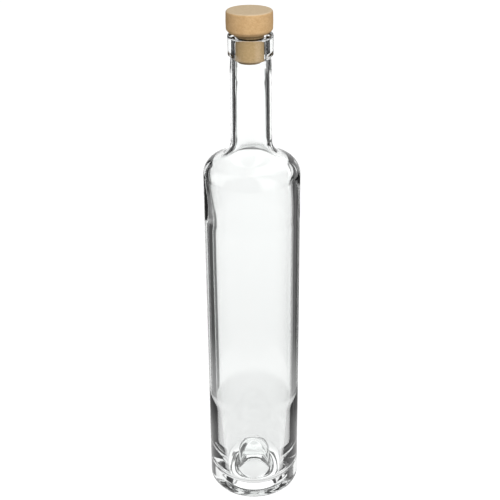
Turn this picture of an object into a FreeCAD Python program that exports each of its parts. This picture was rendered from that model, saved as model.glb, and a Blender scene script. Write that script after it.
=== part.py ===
"""Clear glass bottle of a little under half a litre, closed with a one-piece mushroom cork.

Units are millimetres. The origin is on the bottle's axis, in the plane that it stands on, and +Z is up.
Each piece is the revolution of one closed outline, which is a chain of corners (radius, height, fillet), so
every rounded edge is a tangent arc between two straight runs. The cork then leans back, towards +Y, and
stands a little towards -X.
"""
import FreeCAD
import Part
import math
import os

# ---- overall sizes -------------------------------------------------------------------------------------
BOTTLE_HEIGHT = 321.6
BODY_DIAMETER = 60.0

# ---- neck and mouth ------------------------------------------------------------------------------------
NECK_DIAMETER = 25.2
NECK_LENGTH = 73.6            # from the mouth down to where the neck's and the shoulder's lines would cross
NECK_FLARE = 12.0             # fillet between neck and shoulder
BAND_DIAMETER = 27.3          # the collar round the mouth
BAND_HEIGHT = 13.4
BAND_UNDERCUT = 1.6           # height of the slope under the band
WAIST_DEPTH = 0.5             # how far the neck draws in just under the band
WAIST_LENGTH = 9.0
LIP_ROUNDING = 1.0
BORE_DIAMETER = 18.6
BORE_LENGTH = 26.0            # the part of the mouth that is gauged for the cork
NECK_WALL = 2.85

# ---- shoulder ------------------------------------------------------------------------------------------
SHOULDER_SLOPE = 28.0         # degrees below horizontal
SHOULDER_ROUNDING = 10.0
SHOULDER_WALL = 2.8

# ---- body wall: the blown glass is thinnest under the shoulder and thickest above the base ---------------
UPPER_WALL = 3.7
UPPER_WALL_END = 36.0         # where the wall has its middle thickness, below the shoulder's corner
MIDDLE_WALL = 4.8
MIDDLE_WALL_FOOT = 70.0       # height at which the wall begins to swell towards the base
LOWER_WALL = 7.2
LOWER_WALL_HEIGHT = 36.0
WALL_BLEND_RADIUS = 90.0
SWELL_RADIUS = 60.0

# ---- base ----------------------------------------------------------------------------------------------
HEEL_RADIUS = 5.8
BEARING_WIDTH = 2.0           # the flat ring that the bottle stands on
RING_RECESS = 1.2             # how far the underside lies above that ring
FLOOR_DIAMETER = 40.0
FLOOR_EDGE_THICKNESS = 7.6    # glass over the underside, at the edge of the floor
FLOOR_FOOT_THICKNESS = 6.8    # and at the foot of the dome
INNER_HEEL_RADIUS = 8.0
PUNT_FOOT_DIAMETER = 24.4     # the hollow under the base
PUNT_TOP_DIAMETER = 13.6
PUNT_HEIGHT = 22.5
PUNT_ROUNDING = 6.0
DOME_FOOT_DIAMETER = 26.0     # the dome over it, inside
DOME_TOP_DIAMETER = 20.4
DOME_THICKNESS = 5.4          # between the tops of the two
DOME_ROUNDING = 9.5
FOOT_ROUNDING = 2.2

# ---- cork ----------------------------------------------------------------------------------------------
HEAD_DIAMETER = 27.8
HEAD_HEIGHT = 13.2
HEAD_BULGE = 0.15             # the head's side is barrelled by this much
HEAD_TOP_ROUNDING = 1.3
HEAD_BEVEL = 1.9
SHANK_LENGTH = 17.5
SHANK_CLEARANCE = 0.13        # left between the shank and the bore where they come closest
SHANK_TAPER = 0.15            # how much thinner the shank's foot is than its top, on the radius
SHANK_CHAMFER_HEIGHT = 2.8
SHANK_CHAMFER_DEPTH = 1.8
CORK_LEAN = 4.5               # degrees that the cork leans back, because it was pushed in crooked
CORK_SHIFT = 0.55             # how far the cork stands off the bottle's axis, towards -X

body_radius = BODY_DIAMETER / 2
neck_radius = NECK_DIAMETER / 2
band_radius = BAND_DIAMETER / 2
bore_radius = BORE_DIAMETER / 2
head_radius = HEAD_DIAMETER / 2


def towards(start, end, distance):
    """The point that lies distance from start on the way to end."""
    length = math.dist(start, end)
    share = distance / length
    return tuple(a + (b - a) * share for a, b in zip(start, end))


def vector(point):
    radius, height = point
    return FreeCAD.Vector(radius, 0, height)


def rounded_outline(corners):
    """Edges of a closed outline in the XZ plane: corners are (radius, height, fillet), with 0 for a sharp one."""
    arcs = []
    count = len(corners)
    for index, (radius, height, fillet) in enumerate(corners):
        here = (radius, height)
        before = corners[index - 1][:2]
        after = corners[(index + 1) % count][:2]
        if not fillet:
            arcs.append((here, None, here))
            continue
        inward = [math.atan2(p[1] - height, p[0] - radius) for p in (before, after)]
        half_angle = abs((inward[0] - inward[1] + math.pi) % (2 * math.pi) - math.pi) / 2
        tangent = fillet / math.tan(half_angle)
        first, last = towards(here, before, tangent), towards(here, after, tangent)
        chord_middle = tuple((a + b) / 2 for a, b in zip(first, last))
        to_centre = fillet / math.sin(half_angle)
        middle = towards(here, chord_middle, to_centre - fillet)
        arcs.append((first, middle, last))
    edges = []
    for index, (first, middle, last) in enumerate(arcs):
        if middle:
            edges.append(Part.Arc(vector(first), vector(middle), vector(last)).toShape())
        start = arcs[(index + 1) % count][0]
        if math.dist(last, start) > 1e-6:
            edges.append(Part.LineSegment(vector(last), vector(start)).toShape())
    return edges


def turned(corners):
    """The solid that the closed outline sweeps in one turn about Z."""
    face = Part.Face(Part.Wire(rounded_outline(corners)))
    return face.revolve(FreeCAD.Vector(0, 0, 0), FreeCAD.Vector(0, 0, 1), 360)


def shoulder_lines():
    """Heights at which the shoulder's outer and inner slopes meet the neck's and the body's walls."""
    slope = math.tan(math.radians(SHOULDER_SLOPE))
    drop = SHOULDER_WALL / math.cos(math.radians(SHOULDER_SLOPE))
    neck_inside = neck_radius - NECK_WALL
    body_inside = body_radius - UPPER_WALL
    outer_neck = BOTTLE_HEIGHT - NECK_LENGTH
    outer_body = outer_neck - (body_radius - neck_radius) * slope
    inner_neck = outer_neck + (neck_radius - neck_inside) * slope - drop
    inner_body = inner_neck - (body_inside - neck_inside) * slope
    return outer_neck, outer_body, inner_neck, inner_body


def outer_corners():
    """The outside, from the middle of the punt, over the heel and the shoulder, to the rim of the mouth."""
    outer_neck, outer_body, _, _ = shoulder_lines()
    band_foot = BOTTLE_HEIGHT - BAND_HEIGHT
    bearing_inner = body_radius - HEEL_RADIUS - BEARING_WIDTH
    return [
        (0, PUNT_HEIGHT, 0),
        (PUNT_TOP_DIAMETER / 2, PUNT_HEIGHT, PUNT_ROUNDING),
        (PUNT_FOOT_DIAMETER / 2, RING_RECESS, FOOT_ROUNDING),
        (bearing_inner - RING_RECESS, RING_RECESS, RING_RECESS),
        (bearing_inner, 0, 0),
        (body_radius, 0, HEEL_RADIUS),
        (body_radius, outer_body, SHOULDER_ROUNDING),
        (neck_radius, outer_neck, NECK_FLARE),
        (neck_radius, band_foot - WAIST_LENGTH, WAIST_LENGTH),
        (neck_radius - WAIST_DEPTH, band_foot, BAND_UNDERCUT / 2),
        (band_radius, band_foot + BAND_UNDERCUT, BAND_UNDERCUT / 2),
        (band_radius, BOTTLE_HEIGHT, LIP_ROUNDING),
    ]


def inner_corners():
    """The inside, from the rim of the mouth down to the top of the punt."""
    _, outer_body, inner_neck, inner_body = shoulder_lines()
    floor_edge = RING_RECESS + FLOOR_EDGE_THICKNESS
    floor_foot = RING_RECESS + FLOOR_FOOT_THICKNESS
    dome_top = PUNT_HEIGHT + DOME_THICKNESS
    neck_inside = neck_radius - NECK_WALL
    upper, middle, lower = (body_radius - wall for wall in (UPPER_WALL, MIDDLE_WALL, LOWER_WALL))
    return [
        (bore_radius, BOTTLE_HEIGHT, LIP_ROUNDING),
        (bore_radius, BOTTLE_HEIGHT - BORE_LENGTH, WALL_BLEND_RADIUS),
        (neck_inside, inner_neck, NECK_FLARE + SHOULDER_WALL),
        (upper, inner_body, SHOULDER_ROUNDING - SHOULDER_WALL / 2),
        (middle, outer_body - UPPER_WALL_END, WALL_BLEND_RADIUS),
        (middle, MIDDLE_WALL_FOOT, SWELL_RADIUS),
        (lower, LOWER_WALL_HEIGHT, SWELL_RADIUS / 2),
        (FLOOR_DIAMETER / 2, floor_edge, INNER_HEEL_RADIUS),
        (DOME_FOOT_DIAMETER / 2, floor_foot, FOOT_ROUNDING),
        (DOME_TOP_DIAMETER / 2, dome_top, DOME_ROUNDING),
        (0, dome_top, 0),
    ]


def make_bottle():
    return turned(outer_corners() + inner_corners())


def make_cork():
    """Head and shank are one piece. The shank is slimmer than the bore, so the cork stands crooked: it leans
    back and to one side until its shank meets the bore, and the back edge of its head rests on the rim."""
    lean = math.radians(CORK_LEAN)
    grip_length = SHANK_LENGTH - SHANK_CHAMFER_HEIGHT
    foot_offset = math.hypot(CORK_SHIFT, grip_length / 2 * math.sin(lean))
    shank_foot = (bore_radius - SHANK_CLEARANCE - foot_offset) / math.cos(lean)
    shank_top = shank_foot + SHANK_TAPER
    edge = head_radius - HEAD_BULGE
    underside = edge - HEAD_BEVEL
    upright = turned([
        (0, -SHANK_LENGTH, 0),
        (shank_foot - SHANK_CHAMFER_DEPTH, -SHANK_LENGTH, 0),
        (shank_foot, -grip_length, 0),
        (shank_top, 0, 0),
        (underside, 0, 0),
        (edge, HEAD_BEVEL, HEAD_BEVEL),
        (head_radius, HEAD_HEIGHT / 2, HEAD_HEIGHT),
        (edge, HEAD_HEIGHT, HEAD_TOP_ROUNDING),
        (0, HEAD_HEIGHT, 0),
    ])
    middle_of_grip = FreeCAD.Vector(0, 0, -grip_length / 2)
    upright.rotate(middle_of_grip, FreeCAD.Vector(1, 0, 0), -CORK_LEAN)
    lowest_of_head = grip_length / 2 * (math.cos(lean) - 1) - underside * math.sin(lean)
    upright.translate(FreeCAD.Vector(-CORK_SHIFT, 0, BOTTLE_HEIGHT - lowest_of_head))
    return upright


def main():
    os.makedirs("parts", exist_ok=True)
    for name, solid in {"bottle": make_bottle(), "cork": make_cork()}.items():
        print(name, "valid", solid.isValid(), "volume_mm3", round(solid.Volume, 1), "faces", len(solid.Faces))
        solid.exportStep(f"parts/{name}.step")


main()
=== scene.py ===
"""Looks of the corked glass bottle: clear glass with a moulded base, a pressed cork, a white studio."""

import math

import bpy
from mathutils import Matrix, Vector


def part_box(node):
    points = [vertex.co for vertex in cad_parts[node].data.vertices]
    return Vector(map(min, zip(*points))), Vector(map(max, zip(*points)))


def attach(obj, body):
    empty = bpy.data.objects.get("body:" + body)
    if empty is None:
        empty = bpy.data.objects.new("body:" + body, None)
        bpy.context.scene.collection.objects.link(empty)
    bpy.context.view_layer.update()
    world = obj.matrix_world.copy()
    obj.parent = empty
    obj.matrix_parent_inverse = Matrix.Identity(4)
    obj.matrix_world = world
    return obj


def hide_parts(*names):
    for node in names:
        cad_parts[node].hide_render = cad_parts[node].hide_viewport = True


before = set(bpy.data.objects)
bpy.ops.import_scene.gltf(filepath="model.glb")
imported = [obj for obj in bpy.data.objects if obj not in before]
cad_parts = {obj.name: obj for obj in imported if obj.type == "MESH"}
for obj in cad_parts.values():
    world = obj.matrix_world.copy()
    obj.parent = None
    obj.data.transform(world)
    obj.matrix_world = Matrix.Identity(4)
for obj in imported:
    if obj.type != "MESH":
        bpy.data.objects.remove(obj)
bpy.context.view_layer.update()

MM = 0.001
BODY = "root"
SAME_PLACE = 1e-6             # two points of an outline that are this near are one, in millimetres

# ---- sizes of the glass, in millimetres, as in the construction -------------------------------------------
_, bottle_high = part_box("bottle")
BOTTLE_HEIGHT = bottle_high.z / MM
BODY_RADIUS = bottle_high.x / MM

NECK_RADIUS = 12.6
NECK_LENGTH = 73.6
NECK_FLARE = 12.0
BAND_RADIUS = 13.65
BAND_HEIGHT = 13.4
BAND_UNDERCUT = 1.6
WAIST_DEPTH = 0.5
WAIST_LENGTH = 9.0
LIP_ROUNDING = 1.0
BORE_RADIUS = 9.3
BORE_LENGTH = 26.0
NECK_WALL = 2.85

SHOULDER_SLOPE = 28.0
SHOULDER_ROUNDING = 10.0
SHOULDER_WALL = 2.8

UPPER_WALL = 3.7
MIDDLE_WALL = 4.8
LOWER_WALL = 7.2
UPPER_WALL_END = 36.0
MIDDLE_WALL_FOOT = 70.0
LOWER_WALL_HEIGHT = 36.0
WALL_BLEND_RADIUS = 90.0
SWELL_RADIUS = 60.0

HEEL_RADIUS = 5.8
BEARING_WIDTH = 2.0
RING_RECESS = 1.2
FLOOR_RADIUS = 20.0
FLOOR_EDGE_THICKNESS = 7.6
FLOOR_FOOT_THICKNESS = 6.8
INNER_HEEL_RADIUS = 8.0
PUNT_FOOT_RADIUS = 12.2
PUNT_TOP_RADIUS = 6.8
PUNT_HEIGHT = 22.5
PUNT_ROUNDING = 6.0
DOME_FOOT_RADIUS = 13.0
DOME_TOP_RADIUS = 10.2
DOME_THICKNESS = 5.4
DOME_ROUNDING = 9.5
FOOT_ROUNDING = 2.2

# The wall is uneven: under the shoulder its inside lies off the axis, towards -X.
WALL_OFFSET = 0.7
WALL_OFFSET_FOOT = 38.0       # it begins this far below the shoulder's corner
WALL_OFFSET_RISE = 30.0       # and is whole this much higher up
WALL_OFFSET_FADE = 12.0       # it is gone this far above the corner

# ---- sizes of the cork, in millimetres, as in the construction --------------------------------------------
HEAD_RADIUS = 13.9
HEAD_HEIGHT = 13.2
HEAD_BULGE = 0.15
HEAD_TOP_ROUNDING = 1.3
HEAD_BEVEL = 1.9
SHANK_LENGTH = 17.5
SHANK_CLEARANCE = 0.13
SHANK_TAPER = 0.15
SHANK_CHAMFER_HEIGHT = 2.8
SHANK_CHAMFER_DEPTH = 1.8
CORK_LEAN = math.radians(4.5)
CORK_SHIFT = 0.55

# Rounding of the cork's smaller corners.
SHANK_FOOT_ROUNDING = 0.25
CHAMFER_ROUNDING = 0.5
UNDERSIDE_ROUNDING = 0.4

# ---- fineness of the meshes -------------------------------------------------------------------------------
GLASS_STEP = 3.0              # longest edge along the outline, in millimetres
GLASS_ARC_STEP = 5.0          # and along its arcs, in degrees
GLASS_SEGMENTS = 192
CORK_STEP = 0.8
CORK_ARC_STEP = 6.0
CORK_SEGMENTS = 144

# ---- materials: colours are linear, scales are per metre --------------------------------------------------
GLASS_TINT = (0.978, 0.988, 0.984, 1)
GLASS_INDEX = 1.52
GLASS_WAVES = (40, 40, 9)     # drawn out along the bottle
STIPPLE_SCALE = 700.0
STIPPLE_DEPTH = 0.12          # as a share of the waves' depth
STIPPLE_EDGE = 0.0035, 0.0020     # heights in metres between which the stippling comes in

CORK_SIDE = (0.54, 0.338, 0.158, 1), (0.615, 0.407, 0.208, 1)
# The top's paler tone is its end grain with painted sheen.
CORK_TOP_GRAIN_AND_PAINTED_SHEEN = (0.62, 0.48, 0.31, 1), (0.67, 0.53, 0.36, 1)
CORK_SHANK = (0.615, 0.425, 0.21, 1), (0.70, 0.50, 0.27, 1)
# The foot's darker tone is painted shade.
CORK_FOOT_PAINTED_SHADE = (0.42, 0.275, 0.135, 1), (0.48, 0.33, 0.17, 1)
CORK_SPECK = (0.30, 0.15, 0.06, 1)
CORK_ROUGHNESS = 0.72, 0.9
CORK_GLOSS = 0.25
GRAIN_SCALE = 1500.0
GRAIN_SHARE = 0.3             # of the grain in the tone, where the rest is cloud, and in the relief
CLOUD_SCALE = 300.0
CLOUD_EDGE = 0.3, 0.7         # the stretch of the cloud's values that is used
SPECK_SCALE = 1300.0
SPECK_EDGE = 0.66, 0.76       # a speck is where its noise is above these
SPECK_STRENGTH = 0.4

BUMP_DEPTH = 0.0001           # in metres
GLASS_BUMP = 0.7
CORK_BUMP = 0.5

# ---- studio -----------------------------------------------------------------------------------------------
CAMERA_PLACE = (-0.674, -687.74, 552.28)    # in millimetres
CAMERA_PITCH = 0.497604                     # downwards, in radians
CAMERA_YAW = -0.0011811                     # towards +X
CAMERA_ROLL = -0.0098
FOCAL_LENGTH = 2.4578                       # in widths of the picture

FLOOR_HALF = 6.0              # in metres
FLOOR_DROP = 0.0002           # keeps the floor clear of the bottle's foot
FLOOR_GLOW = 0.9              # what the floor's white has of its own, for the camera alone
ROOM_LIGHT = 0.33             # the world's strength for matt surfaces

# A screen is (middle, half width, softness, brightness), in degrees of azimuth: 0 is +Y, 90 is -X.
BEHIND = (0, 20, 3, 1.0)
LEFT = (90, 20, 3, 1.0)
FRONT_RIGHT = (-135, 20, 3, 1.0)

# Brightness of the gaps between the screens.
GAP = 0.04
STEEP_GAP = 0.06
STEEP_BOUNCED_GAP = 0.08
TABLE_BOUNCED_GAP = 0.3

# Degrees below the horizon between which one row of screens gives way to the next.
SHALLOW_TO_SLANTING = 13.5, 15.5
SLANTING_TO_STEEP = 22.0, 24.0
STEEP_TO_TABLE = 35.5, 37.0


# ---- outlines ---------------------------------------------------------------------------------------------
def towards(start, end, distance):
    share = distance / math.dist(start, end)
    return tuple(a + (b - a) * share for a, b in zip(start, end))


def rounded(corners, step, arc_step):
    """Points of an open outline through corners (radius, height, fillet). Arcs are cut every arc_step
    degrees or finer, and runs every step."""
    runs = [[corners[0][:2]]]
    for before, corner, after in zip(corners, corners[1:], corners[2:]):
        here, fillet = corner[:2], corner[2]
        if not fillet:
            runs.append([here])
            continue
        angles = [math.atan2(p[1] - here[1], p[0] - here[0]) for p in (before, after)]
        half = abs((angles[0] - angles[1] + math.pi) % math.tau - math.pi) / 2
        first = towards(here, before[:2], fillet / math.tan(half))
        last = towards(here, after[:2], fillet / math.tan(half))
        middle = tuple((a + b) / 2 for a, b in zip(first, last))
        centre = towards(here, middle, fillet / math.sin(half))
        turn = math.pi - 2 * half
        start = math.atan2(first[1] - centre[1], first[0] - centre[0])
        end = math.atan2(last[1] - centre[1], last[0] - centre[0])
        sweep = (end - start + math.pi) % math.tau - math.pi
        count = max(2, math.ceil(math.degrees(turn) / arc_step), math.ceil(turn * fillet / step))
        runs.append([
            (centre[0] + fillet * math.cos(start + sweep * i / count),
             centre[1] + fillet * math.sin(start + sweep * i / count))
            for i in range(count + 1)
        ])
    runs.append([corners[-1][:2]])
    points = list(runs[0])
    for run in runs[1:]:
        gap = math.dist(points[-1], run[0])
        count = max(1, math.ceil(gap / step))
        start = points[-1]
        for i in range(1, count):
            points.append(tuple(a + (b - a) * i / count for a, b in zip(start, run[0])))
        if gap > SAME_PLACE:
            points.append(run[0])
        points.extend(run[1:])
    return points


def shoulder_lines():
    """Heights at which the shoulder's slope would meet the neck and the body, outside and then inside."""
    slope = math.tan(math.radians(SHOULDER_SLOPE))
    drop = SHOULDER_WALL / math.cos(math.radians(SHOULDER_SLOPE))
    neck_inside = NECK_RADIUS - NECK_WALL
    body_inside = BODY_RADIUS - UPPER_WALL
    outer_neck = BOTTLE_HEIGHT - NECK_LENGTH
    outer_body = outer_neck - (BODY_RADIUS - NECK_RADIUS) * slope
    inner_neck = outer_neck + (NECK_RADIUS - neck_inside) * slope - drop
    inner_body = inner_neck - (body_inside - neck_inside) * slope
    return outer_neck, outer_body, inner_neck, inner_body


def outer_corners():
    outer_neck, outer_body, _, _ = shoulder_lines()
    band_foot = BOTTLE_HEIGHT - BAND_HEIGHT
    bearing_inner = BODY_RADIUS - HEEL_RADIUS - BEARING_WIDTH
    rim = (BORE_RADIUS + BAND_RADIUS) / 2
    return [
        (0, PUNT_HEIGHT, 0),
        (PUNT_TOP_RADIUS, PUNT_HEIGHT, PUNT_ROUNDING),
        (PUNT_FOOT_RADIUS, RING_RECESS, FOOT_ROUNDING),
        (bearing_inner - RING_RECESS, RING_RECESS, RING_RECESS),
        (bearing_inner, 0, 0),
        (BODY_RADIUS, 0, HEEL_RADIUS),
        (BODY_RADIUS, outer_body, SHOULDER_ROUNDING),
        (NECK_RADIUS, outer_neck, NECK_FLARE),
        (NECK_RADIUS, band_foot - WAIST_LENGTH, WAIST_LENGTH),
        (NECK_RADIUS - WAIST_DEPTH, band_foot, BAND_UNDERCUT / 2),
        (BAND_RADIUS, band_foot + BAND_UNDERCUT, BAND_UNDERCUT / 2),
        (BAND_RADIUS, BOTTLE_HEIGHT, LIP_ROUNDING),
        (rim, BOTTLE_HEIGHT, 0),
    ]


def inner_corners():
    _, outer_body, inner_neck, inner_body = shoulder_lines()
    upper, middle, lower = (BODY_RADIUS - wall for wall in (UPPER_WALL, MIDDLE_WALL, LOWER_WALL))
    rim = (BORE_RADIUS + BAND_RADIUS) / 2
    dome_top = PUNT_HEIGHT + DOME_THICKNESS
    return [
        (rim, BOTTLE_HEIGHT, 0),
        (BORE_RADIUS, BOTTLE_HEIGHT, LIP_ROUNDING),
        (BORE_RADIUS, BOTTLE_HEIGHT - BORE_LENGTH, WALL_BLEND_RADIUS),
        (NECK_RADIUS - NECK_WALL, inner_neck, NECK_FLARE + SHOULDER_WALL),
        (upper, inner_body, SHOULDER_ROUNDING - SHOULDER_WALL / 2),
        (middle, outer_body - UPPER_WALL_END, WALL_BLEND_RADIUS),
        (middle, MIDDLE_WALL_FOOT, SWELL_RADIUS),
        (lower, LOWER_WALL_HEIGHT, SWELL_RADIUS / 2),
        (FLOOR_RADIUS, RING_RECESS + FLOOR_EDGE_THICKNESS, INNER_HEEL_RADIUS),
        (DOME_FOOT_RADIUS, RING_RECESS + FLOOR_FOOT_THICKNESS, FOOT_ROUNDING),
        (DOME_TOP_RADIUS, dome_top, DOME_ROUNDING),
        (0, dome_top, 0),
    ]


def turned(radius, height, angle):
    return radius * math.cos(angle), radius * math.sin(angle), height


def turned_mesh(name, outline, segments, place):
    """A smooth mesh that the outline sweeps about Z. Its first and last points lie on the axis, and place
    says where the point at a radius, a height and an angle goes."""
    spots = [place(0, outline[0][1], 0)]
    inner = outline[1:-1]
    for radius, height in inner:
        spots += [place(radius, height, math.tau * s / segments) for s in range(segments)]
    spots.append(place(0, outline[-1][1], 0))
    last = len(spots) - 1
    faces = []
    for s in range(segments):
        n = (s + 1) % segments
        faces.append((0, 1 + n, 1 + s))
        for ring in range(len(inner) - 1):
            a, b = 1 + ring * segments, 1 + (ring + 1) * segments
            faces.append((a + s, a + n, b + n, b + s))
        top = 1 + (len(inner) - 1) * segments
        faces.append((last, top + s, top + n))
    mesh = bpy.data.meshes.new(name)
    mesh.from_pydata([Vector(spot) * MM for spot in spots], [], faces)
    mesh.update()
    mesh.shade_smooth()
    piece = bpy.data.objects.new(name, mesh)
    bpy.context.scene.collection.objects.link(piece)
    return piece


# ---- shader helpers ---------------------------------------------------------------------------------------
class Nodes:
    """Short ways to add shader nodes to one tree."""

    def __init__(self, tree):
        self.nodes, self.links = tree.nodes, tree.links

    def feed(self, socket, value):
        if isinstance(value, bpy.types.NodeSocket):
            self.links.new(value, socket)
        else:
            socket.default_value = value

    def add(self, kind, **sockets):
        node = self.nodes.new(kind)
        for name, value in sockets.items():
            self.feed(node.inputs[name.replace("_", " ")], value)
        return node

    def fill(self, node, places, values):
        for place, value in zip(places, values):
            self.feed(node.inputs[place], value)

    def maths(self, operation, *values):
        node = self.nodes.new("ShaderNodeMath")
        node.operation = operation
        self.fill(node, range(len(values)), values)
        return node.outputs[0]

    def most(self, values):
        total = values[0]
        for value in values[1:]:
            total = self.maths("MAXIMUM", total, value)
        return total

    def mix(self, factor, first, second):
        node = self.nodes.new("ShaderNodeMix")
        self.fill(node, (0, 2, 3), (factor, first, second))
        return node.outputs[0]

    def mix_colour(self, factor, first, second):
        node = self.nodes.new("ShaderNodeMix")
        node.data_type = "RGBA"
        self.fill(node, (0, 6, 7), (factor, first, second))
        return node.outputs[2]

    def mix_shader(self, factor, first, second):
        node = self.nodes.new("ShaderNodeMixShader")
        self.fill(node, (0, 1, 2), (factor, first, second))
        return node.outputs[0]

    def ramp(self, value, low, high, to_low=0.0, to_high=1.0, soft=True):
        node = self.nodes.new("ShaderNodeMapRange")
        node.interpolation_type = "SMOOTHSTEP" if soft else "LINEAR"
        places = ("Value", "From Min", "From Max", "To Min", "To Max")
        self.fill(node, places, (value, low, high, to_low, to_high))
        return node.outputs[0]

    def noise(self, place, scale, detail, roughness):
        node = self.add("ShaderNodeTexNoise", Vector=place, Scale=scale, Detail=detail, Roughness=roughness)
        return node.outputs[0]

    def within_glass(self, path):
        """1 for a ray that glass has bent or thrown back."""
        return self.maths("MAXIMUM", path.outputs["Is Transmission Ray"], path.outputs["Is Glossy Ray"])


def new_material(name):
    material = bpy.data.materials.new(name)
    material.use_nodes = True
    tree = material.node_tree
    return material, Nodes(tree), tree.nodes["Principled BSDF"], tree.nodes["Material Output"]


# ---- materials --------------------------------------------------------------------------------------------
def glass_material():
    """Clear glass with slow waves from blowing and a stippled heel. Lamps shine through it onto the cork."""
    material, t, shader, output = new_material("clear_glass")
    shader.inputs["Base Color"].default_value = GLASS_TINT
    shader.inputs["Roughness"].default_value = 0.0
    shader.inputs["IOR"].default_value = GLASS_INDEX
    shader.inputs["Transmission Weight"].default_value = 1.0
    place = t.add("ShaderNodeTexCoord").outputs["Object"]
    stretched = t.add("ShaderNodeMapping", Vector=place, Scale=GLASS_WAVES).outputs[0]
    waves = t.noise(stretched, 1.0, 1.0, 0.5)
    height = t.add("ShaderNodeSeparateXYZ", Vector=place).outputs["Z"]
    dots = t.add("ShaderNodeTexVoronoi", Vector=place, Scale=STIPPLE_SCALE).outputs["Distance"]
    heel = t.ramp(height, *STIPPLE_EDGE)
    stipple = t.maths("MULTIPLY", t.maths("MULTIPLY", dots, heel), STIPPLE_DEPTH)
    relief = t.maths("ADD", waves, stipple)
    bump = t.add("ShaderNodeBump", Height=relief, Strength=GLASS_BUMP, Distance=BUMP_DEPTH)
    t.links.new(bump.outputs[0], shader.inputs["Normal"])
    path = t.add("ShaderNodeLightPath")
    clear = t.add("ShaderNodeBsdfTransparent").outputs[0]
    surface = t.mix_shader(path.outputs["Is Shadow Ray"], shader.outputs[0], clear)
    t.links.new(surface, output.inputs["Surface"])
    return material


def cork_material(upwards, top):
    """Fine pressed cork: granules in close tones, a few dark specks and a dry, matt surface. Heights run
    along the direction upwards, and top is that of the cut top, which is pale: partly its end grain, partly
    painted sheen. The shank is paler than the head's side, and its foot darker with painted shade."""
    material, t, shader, _ = new_material("cork")
    place = t.add("ShaderNodeTexCoord").outputs["Object"]
    grain = t.add("ShaderNodeTexVoronoi", Vector=place, Scale=GRAIN_SCALE).outputs["Color"]
    grain_tone = t.add("ShaderNodeSeparateColor", Color=grain).outputs[0]
    cloud = t.noise(place, CLOUD_SCALE, 5.0, 0.65)
    shade = t.ramp(t.mix(GRAIN_SHARE, cloud, grain_tone), *CLOUD_EDGE)
    side, cut, shank, foot = (
        t.mix_colour(shade, *tones) for tones in (CORK_SIDE, CORK_TOP_GRAIN_AND_PAINTED_SHEEN, CORK_SHANK, CORK_FOOT_PAINTED_SHADE)
    )
    along = t.nodes.new("ShaderNodeVectorMath")
    along.operation = "DOT_PRODUCT"
    t.fill(along, (0, 1), (place, upwards))
    height = along.outputs["Value"]
    neck = top - HEAD_HEIGHT * MM
    heel = neck - (SHANK_LENGTH - SHANK_CHAMFER_HEIGHT) * MM
    # Painted shade darkens the foot below the grip.
    base = t.mix_colour(t.ramp(height, heel - 0.6 * MM, heel), foot, shank)
    base = t.mix_colour(t.ramp(height, neck - 0.5 * MM, neck + 0.5 * MM), base, side)
    # The cut top takes its paler end grain tone with painted sheen.
    base = t.mix_colour(t.ramp(height, top - 0.8 * MM, top - 0.2 * MM), base, cut)
    speck = t.ramp(t.noise(place, SPECK_SCALE, 2.0, 0.5), *SPECK_EDGE)
    colour = t.mix_colour(t.maths("MULTIPLY", speck, SPECK_STRENGTH), base, CORK_SPECK)
    t.links.new(colour, shader.inputs["Base Color"])
    t.links.new(t.ramp(cloud, *CLOUD_EDGE, *CORK_ROUGHNESS), shader.inputs["Roughness"])
    shader.inputs["Specular IOR Level"].default_value = CORK_GLOSS
    relief = t.maths("SUBTRACT", t.maths("MULTIPLY", grain_tone, GRAIN_SHARE), speck)
    bump = t.add("ShaderNodeBump", Height=relief, Strength=CORK_BUMP, Distance=BUMP_DEPTH)
    t.links.new(bump.outputs[0], shader.inputs["Normal"])
    return material


# ---- pieces -----------------------------------------------------------------------------------------------
def eased(share):
    share = min(max(share, 0), 1)
    return share * share * (3 - 2 * share)


def make_glass():
    outside = rounded(outer_corners(), GLASS_STEP, GLASS_ARC_STEP)
    inside = rounded(inner_corners(), GLASS_STEP, GLASS_ARC_STEP)[1:]
    inner_points = set(inside)
    _, shoulder_corner, _, _ = shoulder_lines()

    def place(radius, height, angle):
        x, y, z = turned(radius, height, angle)
        if (radius, height) in inner_points:
            over = height - shoulder_corner
            rise = eased((over + WALL_OFFSET_FOOT) / WALL_OFFSET_RISE)
            x -= WALL_OFFSET * rise * (1 - eased(over / WALL_OFFSET_FADE))
        return x, y, z

    piece = turned_mesh("bottle_glass", outside + inside, GLASS_SEGMENTS, place)
    piece.data.materials.append(glass_material())
    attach(piece, BODY)
    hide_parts("bottle")


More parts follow.
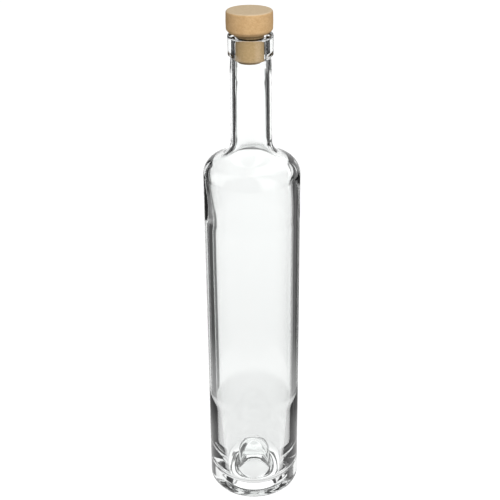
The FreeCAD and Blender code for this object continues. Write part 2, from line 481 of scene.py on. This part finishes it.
def make_cork():
    """The cork leans back about the middle of its grip, and the back of its head rests on the rim."""
    grip_length = SHANK_LENGTH - SHANK_CHAMFER_HEIGHT
    foot_offset = math.hypot(CORK_SHIFT, grip_length / 2 * math.sin(CORK_LEAN))
    shank_foot = (BORE_RADIUS - SHANK_CLEARANCE - foot_offset) / math.cos(CORK_LEAN)
    edge = HEAD_RADIUS - HEAD_BULGE
    underside = edge - HEAD_BEVEL
    outline = rounded([
        (0, -SHANK_LENGTH, 0),
        (shank_foot - SHANK_CHAMFER_DEPTH, -SHANK_LENGTH, SHANK_FOOT_ROUNDING),
        (shank_foot, -grip_length, CHAMFER_ROUNDING),
        (shank_foot + SHANK_TAPER, 0, 0),
        (underside, 0, UNDERSIDE_ROUNDING),
        (edge, HEAD_BEVEL, HEAD_BEVEL),
        (HEAD_RADIUS, HEAD_HEIGHT / 2, HEAD_HEIGHT),
        (edge, HEAD_HEIGHT, HEAD_TOP_ROUNDING),
        (0, HEAD_HEIGHT, 0),
    ], CORK_STEP, CORK_ARC_STEP)
    lowest_of_head = grip_length / 2 * (math.cos(CORK_LEAN) - 1) - underside * math.sin(CORK_LEAN)
    pivot = Vector((0, 0, -grip_length / 2))
    lean = Matrix.Rotation(-CORK_LEAN, 3, "X")
    shift = Vector((-CORK_SHIFT, 0, BOTTLE_HEIGHT - lowest_of_head))

    def place(radius, height, angle):
        return lean @ (Vector(turned(radius, height, angle)) - pivot) + pivot + shift

    piece = turned_mesh("cork_stopper", outline, CORK_SEGMENTS, place)
    upwards = lean @ Vector((0, 0, 1))
    top = place(0, HEAD_HEIGHT, 0).dot(upwards) * MM
    piece.data.materials.append(cork_material(upwards, top))
    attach(piece, BODY)
    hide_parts("cork")


# ---- camera, lamp and floor -------------------------------------------------------------------------------
def make_camera():
    level = math.cos(CAMERA_PITCH)
    forward = Vector((math.sin(CAMERA_YAW) * level, math.cos(CAMERA_YAW) * level, -math.sin(CAMERA_PITCH)))
    flat_right = Vector((math.cos(CAMERA_YAW), -math.sin(CAMERA_YAW), 0))
    flat_up = flat_right.cross(forward)
    right = flat_right * math.cos(CAMERA_ROLL) + flat_up * math.sin(CAMERA_ROLL)
    up = flat_up * math.cos(CAMERA_ROLL) - flat_right * math.sin(CAMERA_ROLL)
    camera = bpy.data.cameras.new("camera")
    camera.lens = FOCAL_LENGTH * camera.sensor_width
    eye = bpy.data.objects.new("camera", camera)
    turn = Matrix((right, up, -forward)).transposed().to_4x4()
    eye.matrix_world = Matrix.Translation(Vector(CAMERA_PLACE) * MM) @ turn
    bpy.context.scene.collection.objects.link(eye)
    bpy.context.scene.camera = eye


def area_lamp(name, place, target, size, power):
    """A square lamp that glass doesn't mirror."""
    lamp = bpy.data.lights.new(name, "AREA")
    lamp.shape = "SQUARE"
    lamp.size = size
    lamp.energy = power
    holder = bpy.data.objects.new(name, lamp)
    holder.location = place
    holder.rotation_euler = (Vector(target) - Vector(place)).to_track_quat("-Z", "Y").to_euler()
    holder.visible_glossy = False
    holder.visible_transmission = False
    bpy.context.scene.collection.objects.link(holder)


def make_floor():
    """White where the camera sees it, with the bottle's soft shadow. The glass sees the screens beyond it."""
    mesh = bpy.data.meshes.new("floor")
    corners = [(x * FLOOR_HALF, y * FLOOR_HALF, 0) for x, y in ((-1, -1), (1, -1), (1, 1), (-1, 1))]
    mesh.from_pydata(corners, [], [(0, 1, 2, 3)])
    floor = bpy.data.objects.new("floor", mesh)
    floor.location.z = -FLOOR_DROP
    bpy.context.scene.collection.objects.link(floor)
    material = bpy.data.materials.new("floor")
    material.use_nodes = True
    t = Nodes(material.node_tree)
    t.nodes.clear()
    path = t.add("ShaderNodeLightPath")
    glow = t.add("ShaderNodeEmission", Color=(1, 1, 1, 1), Strength=FLOOR_GLOW)
    matt = t.add("ShaderNodeBsdfDiffuse", Color=(0.3, 0.3, 0.3, 1))
    seen = t.nodes.new("ShaderNodeAddShader")
    t.fill(seen, (0, 1), (glow.outputs[0], matt.outputs[0]))
    plain = t.add("ShaderNodeBsdfDiffuse", Color=(0.8, 0.8, 0.8, 1))
    clear = t.add("ShaderNodeBsdfTransparent")
    lit = t.mix_shader(path.outputs["Is Camera Ray"], plain.outputs[0], seen.outputs[0])
    surface = t.mix_shader(t.within_glass(path), lit, clear.outputs[0])
    output = t.nodes.new("ShaderNodeOutputMaterial")
    t.links.new(surface, output.inputs["Surface"])
    mesh.materials.append(material)


# ---- world ------------------------------------------------------------------------------------------------
def make_world():
    """A white room for the camera and the cork. The glass sees rows of white screens with dark gaps between
    them, which change with the ray's steepness. Light that has bounced inside the wall of the glass sees
    narrower screens, which gives it its dark edges."""
    world = bpy.data.worlds.new("studio")
    bpy.context.scene.world = world
    world.use_nodes = True
    t = Nodes(world.node_tree)
    t.nodes.clear()
    path = t.add("ShaderNodeLightPath")
    way = t.add("ShaderNodeSeparateXYZ", Vector=t.add("ShaderNodeTexCoord").outputs["Generated"])
    x, y, z = way.outputs
    azimuth = t.maths("MULTIPLY", t.maths("ARCTAN2", t.maths("MULTIPLY", x, -1.0), y), math.degrees(1))
    below = t.maths("MULTIPLY", t.maths("ARCSINE", z), -math.degrees(1))

    def screen(middle, half_width, softness, brightness):
        off = t.maths("PINGPONG", t.maths("ABSOLUTE", t.maths("SUBTRACT", azimuth, middle)), 180.0)
        inside = t.ramp(t.maths("SUBTRACT", off, half_width), softness, -softness)
        return t.maths("MULTIPLY", inside, brightness)

    def row(screens, gap):
        return t.most([screen(*values) for values in screens] + [gap])

    slanting = t.ramp(below, *SHALLOW_TO_SLANTING)
    steep = t.ramp(below, *SLANTING_TO_STEEP)
    near_table = t.ramp(below, *STEEP_TO_TABLE)

    # The screens dim downwards, and brighten away from +Y.
    fall = t.ramp(below, 18.0, 26.0, 1.3, 1.17, soft=False)
    fall = t.mix(t.ramp(below, 26.0, 32.0, soft=False), fall, 1.08)
    fade = t.mix(t.ramp(below, 32.0, 42.0), fall, 0.9)
    aside = t.maths("DIVIDE", azimuth, 40.0)
    boost = t.maths("ADD", 1.0, t.maths("MULTIPLY", t.maths("MULTIPLY", aside, aside), 0.5))
    fade = t.maths("MULTIPLY", fade, t.maths("MINIMUM", boost, 1.5))

    # What shines straight through the glass.
    shallow_through = row([BEHIND, LEFT, FRONT_RIGHT], GAP)
    reach = t.ramp(below, 19.7, 20.4, 20.0, 27.0)
    corner = t.most([t.ramp(below, 20.4, 20.0), t.ramp(below, 21.3, 22.0)])
    slanting_through = row([(0, reach, 3, 1.0), (45, 11, 4, corner), LEFT, FRONT_RIGHT], GAP)
    steep_through = row(
        [(-22.5, 44.5, 2, 1.0), (26, 4, 3, 0.18), (45, 11, 4, 0.8), LEFT, FRONT_RIGHT], STEEP_GAP)
    steep_through = t.mix(near_table, steep_through, 1.0)
    through = t.mix(slanting, shallow_through, t.mix(steep, slanting_through, steep_through))
    through = t.maths("MULTIPLY", through, fade)

    # What reaches the eye by way of the wall.
    shallow_bounced = row([(0, 22, 3, 1.0), (-42, 24, 3, 1.0), (90, 22, 3, 1.0), FRONT_RIGHT], GAP)
    slanting_bounced = row([(0, 28, 3, 1.3), (-135, 20, 3, 0.6)], GAP)
    steep_gap = t.ramp(below, 32.0, 35.0, STEEP_BOUNCED_GAP, TABLE_BOUNCED_GAP)
    steep_bounced = row([(10, 13, 1.5, 1.1), (-53, 6, 2, 0.45), (180, 95, 8, 0.2)], steep_gap)
    steep_bounced = t.mix(near_table, steep_bounced, 0.85)
    bounced = t.mix(slanting, shallow_bounced, t.mix(steep, slanting_bounced, steep_bounced))

    has_bounced = t.maths("GREATER_THAN", path.outputs["Glossy Depth"], 0.5)
    screens = t.mix(has_bounced, through, bounced)
    unscattered = t.maths("LESS_THAN", path.outputs["Diffuse Depth"], 0.5)
    glassy = t.maths("MULTIPLY", t.within_glass(path), unscattered)
    room = t.mix(path.outputs["Is Camera Ray"], ROOM_LIGHT, 1.0)
    background = t.add("ShaderNodeBackground", Color=(1, 1, 1, 1), Strength=t.mix(glassy, room, screens))
    output = t.nodes.new("ShaderNodeOutputWorld")
    t.links.new(background.outputs[0], output.inputs["Surface"])


make_camera()
make_glass()
make_cork()
make_floor()
make_world()
area_lamp("key", place=(0.31, -1.16, 1.5), target=(0, 0, 0.3), size=0.9, power=26)

bpy.context.scene.view_settings.view_transform = "Standard"
